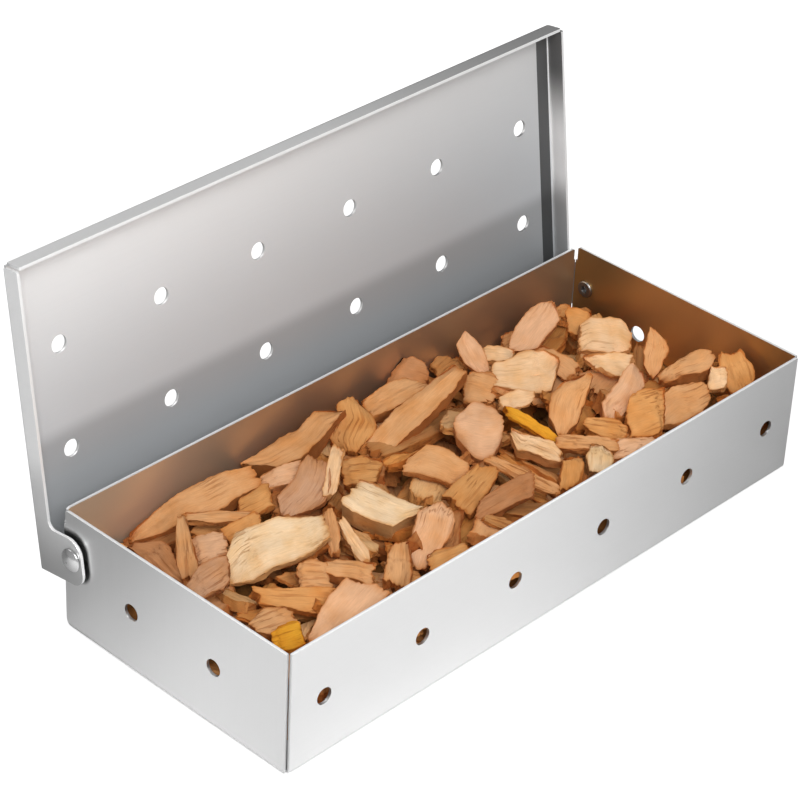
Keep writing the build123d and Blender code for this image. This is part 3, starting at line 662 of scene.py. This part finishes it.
def split_chip(block, middle, axes, ends, sides, tone, rng, torn_much=1):
    """One chip: a block bent and torn along its grain to its two ends and its two long sides. The whole
    numbers in its waves only keep one pattern apart from the next."""
    chip = block.copy()
    place_layer = chip.verts.layers.float_vector.new("grain_place")
    tone_layer = chip.verts.layers.float_color.new("wood_tone")
    seed = new_seed(rng)
    near, far = ends
    length, width = (far[0] - near[0]) / 2, sum(high - low for low, high in sides) / len(sides) / 2
    oval = rng.choice((0, 0.1, 0.2, 0.4)) * torn_much
    wedge, fuzz = rng.uniform(-0.45, 0.45), rng.uniform(0.5, 1.5)
    cup = rng.uniform(-0.7, 1.5) * mm * min(1, width / full_width)
    bend = rng.uniform(-1.3, 1.3) * mm * min(1, length / full_length)
    twist = rng.uniform(-0.25, 0.25) * torn_much
    ledge_at, ledge_turn = rng.uniform(-0.6, 0.6), rng.uniform(-0.4, 0.4)
    layer_at = rng.uniform(0.15, 0.9) * rng.choice((-1, 1))
    layer_depth = rng.uniform(0.3, 0.9) * mm
    tear = min(deepest_tear, length * 0.22) * torn_much
    shoulders = [(rng.uniform(-0.5, 0.5), rng.uniform(0, 0.3) * torn_much) for side in range(2)]
    points = [(rng.uniform(-0.7, 0.7), rng.uniform(-0.2, 0.5) * torn_much) for end in range(2)]
    facets = []
    for facet in range(2):
        facets.append((rng.uniform(0, 2 * math.pi), rng.uniform(0.15, 0.75), rng.uniform(0.3, 0.9)))
    for vert in chip.verts:
        a, b, c = vert.co
        outer_a, outer_b = math.copysign(1, a), math.copysign(1, b)
        # its place between the two ends, and how wide and thick the chip is there
        p = (a + 1) / 2
        step = min(int(p * (len(sides) - 1)), len(sides) - 2)
        share = p * (len(sides) - 1) - step
        low, high = (sides[step][i] * (1 - share) + sides[step + 1][i] * share for i in range(2))
        mid_v, half_v = (low + high) / 2, (high - low) / 2 * (1 - oval * a * a)
        mid_w, half_w = near[1] + (far[1] - near[1]) * p, near[3] + (far[3] - near[3]) * p
        shoulder, drop = shoulders[b > 0]
        half_v *= 1 + drop * (0.3 - abs(a - shoulder))
        v = b * half_v * (1 + 0.26 * torn_much * wave(seed, a * 1.5, 0, 3 * outer_b * abs(b)))
        # its ends slant, come to a blunt point and are frayed
        slant = near[2] + (far[2] - near[2]) * p
        u = near[0] + (far[0] - near[0]) * p + slant * v * abs(a)
        point, jut = points[a > 0]
        u += math.copysign(jut, a) * (0.4 - abs(b - point)) * half_v * abs(a) ** 3
        fray = wave(seed, 5 * outer_a, v / end_wave, c * 0.5)
        fray += 0.8 * wave(seed, 9 * outer_a, v / end_fray, c * 0.9)
        u += outer_a * (fray - 0.15) * tear * abs(a) ** 5
        # its sides are uneven
        uneven = 0.9 * torn_much * wave(seed, u / side_wave, 7, c)
        uneven += 0.35 * wave(seed, u / side_ripple, 17, c * 1.5)
        v += abs(b) ** 4 * outer_b * uneven * mm
        # its upper face has a ledge, a torn layer, two split facets and ridges along the grain
        thin = (1 - 0.06 * abs(b) ** 4) * (1 - 0.12 * abs(a) ** 8) * (1 + wedge * b)
        ridge = 0.2 * wave(seed, u / ridge_long, v / ridge_wide, math.copysign(2, c))
        ridge += 0.12 * wave(seed, u / thread_long, v / thread_wide, math.copysign(4, c))
        w = c * half_w * thin + abs(c) * ridge * fuzz * mm
        if c > 0.5:
            ledge = math.tanh((b - ledge_at - ledge_turn * a - 0.15 * wave(seed, a * 3, 31, 0)) * 14)
            layer = a - layer_at - 0.22 * wave(seed, 41, v / layer_wave, 0)
            layer = math.tanh(layer * 12 * math.copysign(1, layer_at))
            lost = ledge_depth * (1 + ledge) / 2 + layer_depth * (1 + layer) / 2
            w -= lost * min(1, half_w / full_depth)
            for heading, begin, slope in facets:
                w -= max(0, a * math.cos(heading) + b * math.sin(heading) - begin) * slope * half_w
        # all of it is cupped, bent and twisted
        w += cup * (b * b - 0.3) + bend * (a * a - 0.33)
        turn = twist * a
        v, w = v * math.cos(turn) - w * math.sin(turn), v * math.sin(turn) + w * math.cos(turn)
        vert[place_layer] = seed * 0.01 + Vector((u, v, w))
        # Its sides and ends are darker, partly broken wood and partly painted shade, and its underside is
        # painted shade
        side = max(abs(b) ** 16, abs(a) ** 18, 0 if c > -0.5 else 0.7)
        shade = 1 + 0.12 * wave(seed, a * 2, b * 2, 50)
        vert[tone_layer] = (*(tone.lerp(tone * side_shade, side) * shade), 1)
        vert.co = held_in_tray(middle + axes.transposed() @ Vector((u, mid_v + v, mid_w + w)))
    if axes.determinant() < 0:
        bmesh.ops.reverse_faces(chip, faces=chip.faces)
    chip.normal_update()
    for edge in chip.edges:
        edge.smooth = edge.calc_face_angle(0) < crease
    for face in chip.faces:
        face.smooth = True
    return chip


def add_chip(heap, chip):
    part = bpy.data.meshes.new("chip")
    chip.to_mesh(part)
    heap.from_mesh(part)
    chip.free()
    bpy.data.meshes.remove(part)


def lay_heap(heap, name):
    """Makes a heap of chips one piece that rides on the tray."""
    mesh = bpy.data.meshes.new(name)
    heap.to_mesh(mesh)
    heap.free()
    mesh.materials.append(chip_wood)
    pile = bpy.data.objects.new(name, mesh)
    bpy.context.scene.collection.objects.link(pile)
    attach(pile, "tray")
    return pile


def seen_on(spot, point, normal):
    """Where the camera's ray through a pixel of the photograph meets a plane."""
    pixel = sensor_width / photo_side
    x, y = (spot[0] - photo_side / 2) * pixel, (photo_side / 2 - spot[1]) * pixel
    ray = aim @ Vector((x, y, -camera_lens))
    return camera_place + ray * ((point - camera_place).dot(normal) / ray.dot(normal))


def lay_in_view(corners, normal, height):
    """The corners of a chip's face at a height in the heap, or as much higher as the walls make it."""
    centre = sum((Vector(spot) for spot in corners), Vector((0, 0))) / len(corners)
    while True:
        point = seen_on(centre, Vector((0, 0, height)), up)
        face = [seen_on(spot, point, normal) for spot in corners]
        if all(spot.x < wall_limit.x and spot.y < wall_limit.y for spot in face):
            return face
        height += wall_step


def outline_sides(points):
    """How far both sides of an outline stand from the grain, at even steps along it."""
    first, last = min(u for u, v in points), max(u for u, v in points)
    sides = []
    for step in range(outline_steps):
        share = outline_start + outline_span * step / (outline_steps - 1)
        u = first + (last - first) * share
        crossings = []
        for (at, v), (next_u, next_v) in zip(points, points[1:] + points[:1]):
            if (at - u) * (next_u - u) <= 0 and at != next_u:
                crossings.append(v + (next_v - v) * (u - at) / (next_u - at))
        sides.append((min(crossings), max(crossings)))
    return first, last, sides


chip_wood = split_wood()
rng = random.Random(5)
fine_block, plain_block = grid_block((34, 20, 3)), grid_block((12, 7, 2))
zones = {}
for name in sorted(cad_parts):
    if name.startswith("chips_"):
        zones[name] = sum(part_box(name), Vector()) / 2

# The traced chips first, each kept with the zone of the heap that it lies in, and the room below each
laid_on_top, resting = {name: [] for name in zones}, []
for name, (tone, facing, thick, lift, corners) in traced_chips.items():
    normal = up.lerp(backward, facing).normalized()
    face = lay_in_view(corners, normal, traced_level + lift_step * lift * mm)
    near_low, near_high, far_low, far_high = face
    near, far = (near_low + near_high) / 2, (far_low + far_high) / 2
    middle, along = (near + far) / 2, (far - near).normalized()
    axes = Matrix((along, normal.cross(along), normal))
    if name in traced_outlines:
        seen = [axes @ (seen_on(spot, middle, normal) - middle) for spot in traced_outlines[name]]
        first, last, sides = outline_sides([(spot.x, spot.y) for spot in seen])
        middle = middle + along * (first + last) / 2
        length, slants, torn_much = last - first, (0, 0), outlined_tear
    else:
        edges = [axes @ (near_high - near_low), axes @ (far_high - far_low)]
        slants = [held(edge.x / edge.y, -steepest_slant, steepest_slant) for edge in edges]
        sides = [(-abs(edge.y) / 2 * traced_swell, abs(edge.y) / 2 * traced_swell) for edge in edges]
        length, torn_much = (far - near).length * traced_swell, traced_tear
    half_thick = thick / 2 * mm
    middle = middle - normal * thick / 2 * mm
    ends = [(side * length / 2, 0, slant, half_thick) for side, slant in zip((-1, 1), slants)]
    reach = max(max(-low, high) for low, high in sides)
    room = Vector((length / 2 + rest_margin, reach + rest_margin, half_thick))
    resting.append((middle, axes, room))
    tone = Vector(wood_tones[tone]) * top_warmth * rng.uniform(*top_shades)
    # Top chips lighten towards the right wall: painted light
    tone = tone * (1 + right_glow * max(0, middle.x / inner_box[1].x))
    chip = split_chip(fine_block, middle, axes, ends, sides, tone, rng, torn_much)
    nearest = min(zones, key=lambda zone: (zones[zone] - middle).xy.length)
    laid_on_top[nearest].append(chip)

# The frame's own chips lie below them, and below the line of sight to the hole in the right wall
hole_seen = seen_on(open_hole, Vector((inner_box[1].x, 0, 0)), Vector((1, 0, 0)))
sight = (camera_place - hole_seen).normalized()
level = up.cross(sight).normalized()
sight_axes = Matrix((sight, level, sight.cross(level)))
resting.append((hole_seen + sight * sight_start * mm, sight_axes, sight_room))
heap_points, heap_faces = [], []
for name in zones:
    solids = bmesh.new()
    solids.from_mesh(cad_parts[name].data)
    bmesh.ops.remove_doubles(solids, verts=solids.verts, dist=0.003 * mm)
    bmesh.ops.dissolve_limit(solids, angle_limit=math.radians(0.5), verts=solids.verts, edges=solids.edges)
    solids.normal_update()
    solids.verts.index_update()
    solids.faces.index_update()
    heap = bmesh.new()
    for piece in loose_pieces(solids):
        middle, axes, faces = grain_frame(piece)
        ends, sides = zip(*(end_sizes(face, middle, axes) for face in faces))
        highest = max(vert.co.z for vert in piece)
        middle.z -= max(0, highest - heap_level)
        for above, turned, room in resting:
            u, v, w = turned @ (middle - above)
            gap = w + room.z + rest_gap
            if abs(u) < room.x and abs(v) < room.y and 0 < gap < rest_depth:
                middle = middle - turned.row[2] * gap
        # The chips below are darker and warmer than those on top: painted shade low in the heap
        tone = Vector(wood_tones[rng.choice(common_tones)]) * deep_shade_tint * rng.uniform(*deep_shades)
        block = plain_block if highest < buried else fine_block
        add_chip(heap, split_chip(block, middle, axes, ends, sides, tone, rng))
    solids.free()
    for chip in laid_on_top[name]:
        add_chip(heap, chip)
    pile = lay_heap(heap, "split_" + name)
    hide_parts(name)
    first = len(heap_points)
    heap_points.extend(vert.co.copy() for vert in pile.data.vertices)
    heap_faces.extend([first + index for index in face.vertices] for face in pile.data.polygons)


# Crumbs: the dust, small flakes and splinters that fill the gaps low in the heap. They come from the
# same split wood, and rest where the chips hold them.
# The dust under them is a dark sheet of the same wood, partly dust and partly painted shade in the gaps
dust_cells, dust_length, dust_width, dust_level = (150, 62), 103.8, 43.0, 12.5
lump_size, clod_size, grit_length, grit_width, turn_size, shade_size = 9, 3.2, 2.1, 1.7, 6, 2.5
lump_height, clod_height, grit_height = 3, 1.6, 0.8
dust_shade, dust_contrast = 0.48, 0.22
loose_count, splinter_every, strewn_length, strewn_width, dropped_from = 1200, 24, 100, 41, 60
loose_tones, loose_shades = ("cream", "pale", "tan", "tan", "pink", "orange"), (0.85, 1.05)
steepest_rest, sunk = 0.5, 0.35
# Each kind has its lengths, widths, thicknesses and highest place in mm, and how far its ends taper
loose_kinds = {
    "splinter": ((5, 15), (0.25, 0.6), (0.2, 0.4), 24, 0.85, grid_block((7, 2, 1))),
    "flake": ((2, 6), (0.9, 2.6), (0.3, 0.9), 22, 0.4, grid_block((6, 4, 1))),
}

heap_top = BVHTree.FromPolygons(heap_points, heap_faces)
crumbs = bmesh.new()
bmesh.ops.create_grid(crumbs, x_segments=dust_cells[0], y_segments=dust_cells[1], size=1)
place_layer = crumbs.verts.layers.float_vector.new("grain_place")
tone_layer = crumbs.verts.layers.float_color.new("wood_tone")
for vert in crumbs.verts:
    x, y = vert.co.x * dust_length, vert.co.y * dust_width
    height = dust_level + lump_height * noise.noise(Vector((x / lump_size, y / lump_size, 3)))
    height += clod_height * noise.noise(Vector((x / clod_size, y / clod_size, 5)))
    height += grit_height * noise.cell(Vector((x / grit_length, y / grit_width, 8)))
    vert.co = Vector((x, y, height)) * mm
    heading = 3 * noise.cell(Vector((x / turn_size, y / turn_size, 1)))
    vert[place_layer] = Matrix.Rotation(heading, 3, "Z") @ vert.co
    shade = dust_shade + dust_contrast * noise.noise(Vector((x / shade_size, y / shade_size, 11)))
    vert[tone_layer] = (*(Vector(wood_tones["orange"]) * deep_shade_tint * shade), 1)
for number in range(loose_count):
    kind = "splinter" if number % splinter_every == 0 else "flake"
    lengths, widths, thicks, highest, tapering, block = loose_kinds[kind]
    length, width, thick = (rng.uniform(*span) * mm for span in (lengths, widths, thicks))
    strewn_x = rng.uniform(-strewn_length, strewn_length)
    middle = Vector((strewn_x, rng.uniform(-strewn_width, strewn_width), dropped_from)) * mm
    turn = rng.uniform(0, math.pi)
    half = Vector((math.cos(turn), math.sin(turn), 0)) * length / 2
    across = Vector((-half.y, half.x, 0)).normalized() * width / 2
    hits = [heap_top.ray_cast(middle + reach, down)[0] for reach in (-half, half, -across, across)]
    if None in hits or max(hit.z for hit in hits) - min(hit.z for hit in hits) > steepest_rest * length:
        continue
    start, end, left, right = hits
    along = (end - start).normalized()
    rise = along.cross(right - left).normalized()
    rise = rise if rise.z > 0 else -rise
    across = rise.cross(along)
    lift = max((hit - (start + end) / 2).dot(rise) for hit in hits) + thick * sunk
    base = (start + end) / 2 + rise * lift
    if base.z > highest * mm:
        continue
    flake = block.copy()
    flake_place = flake.verts.layers.float_vector.new("grain_place")
    flake_tone = flake.verts.layers.float_color.new("wood_tone")
    seed = new_seed(rng)
    tone = Vector(wood_tones[rng.choice(loose_tones)]) * rng.uniform(*loose_shades)
    bow = rng.uniform(-0.08, 0.12) * length
    for vert in flake.verts:
        a, b, c = vert.co
        taper = 1 - tapering * abs(a) ** 2
        u = a * length / 2 * (1 + 0.3 * wave(seed, b * 2, 1, 0))
        v = b * width / 2 * taper * (1 + 0.4 * wave(seed, a * 2, 5, b))
        w = c * thick / 2 * taper + bow * (1 - a * a)
        vert[flake_place] = seed * 0.01 + Vector((u, v, w))
        vert[flake_tone] = (*tone, 1)
        vert.co = held_in_tray(base + along * u + across * v + rise * w)
    add_chip(crumbs, flake)
bmesh.ops.recalc_face_normals(crumbs, faces=crumbs.faces)
for face in crumbs.faces:
    face.smooth = True
lay_heap(crumbs, "chip_crumbs")


# Floor and light: a white studio table, one large soft lamp at the front left, two weak ones behind the
# box, and a sky that is a little darker to the right and behind. The table takes the box's shadow.
# The table's colour is painted darker towards the back and the right, a painted shade that the steel
# reflects; to the camera it glows white
table_side, table_drop = 12, 0.2 * mm
fade_x, fade_y, shadow_fade, behind_fade = 0.5, 0.9, (-64.8 * mm, 25.2 * mm), (0, 60 * mm)
sky_shade, sky_right_shade, sky_behind_shade, sky_least = 0.32, 0.12, 0.14, 0.05
white_light = (1, 1, 1, 1)


def sheet_of_light(name, place, target, size, power):
    lamp = bpy.data.lights.new(name, "AREA")
    lamp.shape = "RECTANGLE"
    lamp.size, lamp.size_y = size
    lamp.energy = power
    made = bpy.data.objects.new(name, lamp)
    made.location = place
    made.rotation_euler = (Vector(target) - Vector(place)).to_track_quat("-Z", "Y").to_euler()
    made.visible_camera = False
    bpy.context.scene.collection.objects.link(made)


table = bmesh.new()
bmesh.ops.create_grid(table, x_segments=2, y_segments=2, size=table_side)
bmesh.ops.translate(table, verts=table.verts, vec=(0, 0, -table_drop))
table_mesh = bpy.data.meshes.new("table")
table.to_mesh(table_mesh)
table.free()
studio_table = bpy.data.objects.new("studio_table", table_mesh)
bpy.context.scene.collection.objects.link(studio_table)
white, wire = new_finish("white_table")
path_camera, path_glossy, path_clear = (
    wire.node("ShaderNodeLightPath", None, None, way) for way in (0, 3, 6))
floor_x, floor_y = along_axes(wire.node("ShaderNodeTexCoord", None, None, 3))[:2]
fade = rising(floor_x * fade_x + floor_y * fade_y, *shadow_fade)
behind = rising(floor_y, *behind_fade)
floor_tone = 0.92 - fade * 0.5 - behind * 0.2
floor_colour = wire.node("ShaderNodeCombineColor", None, {
    "Red": floor_tone, "Green": floor_tone, "Blue": floor_tone})
glow = path_camera * (0.2 + fade * 0.55 + behind * 0.25) + (path_glossy + path_clear) * 0.02
matt = wire.node("ShaderNodeBsdfDiffuse", None, {"Color": floor_colour})
shine = wire.node("ShaderNodeEmission", None, {"Color": white_light, "Strength": glow})
end_finish(wire, wire.node("ShaderNodeAddShader", None, {0: matt, 1: shine}))
table_mesh.materials.append(white)

world = bpy.data.worlds.new("studio")
bpy.context.scene.world = world
world.use_nodes = True
world.node_tree.nodes.clear()
sky = Wire(world.node_tree)
sky_camera = sky.node("ShaderNodeLightPath", None, None, 0)
sky_right, sky_behind = along_axes(sky.node("ShaderNodeTexCoord", None, None, 0))[:2]
sky_glow = (sky_shade - sky_right * sky_right_shade - sky_behind * sky_behind_shade).clamped(sky_least, 1)
sky_strength = sky_camera + (1 - sky_camera) * sky_glow
sky_light = sky.node("ShaderNodeBackground", None, {"Color": white_light, "Strength": sky_strength})
sky.node("ShaderNodeOutputWorld", None, {"Surface": sky_light})

sheet_of_light("front_left_lamp", (-0.45, -0.6, 0.8), target=(0, 0, 0.02), size=(0.6, 0.6), power=9)
sheet_of_light("back_lamp", (-0.1, 0.35, 0.4), target=(0, 0.05, 0.1), size=(0.4, 0.3), power=0.7)
sheet_of_light("rim_lamp", (0.5, 0.46, 0.5), target=(0, 0, 0.04), size=(0.3, 0.3), power=0.6)

bpy.context.scene.view_settings.view_transform = "Standard"
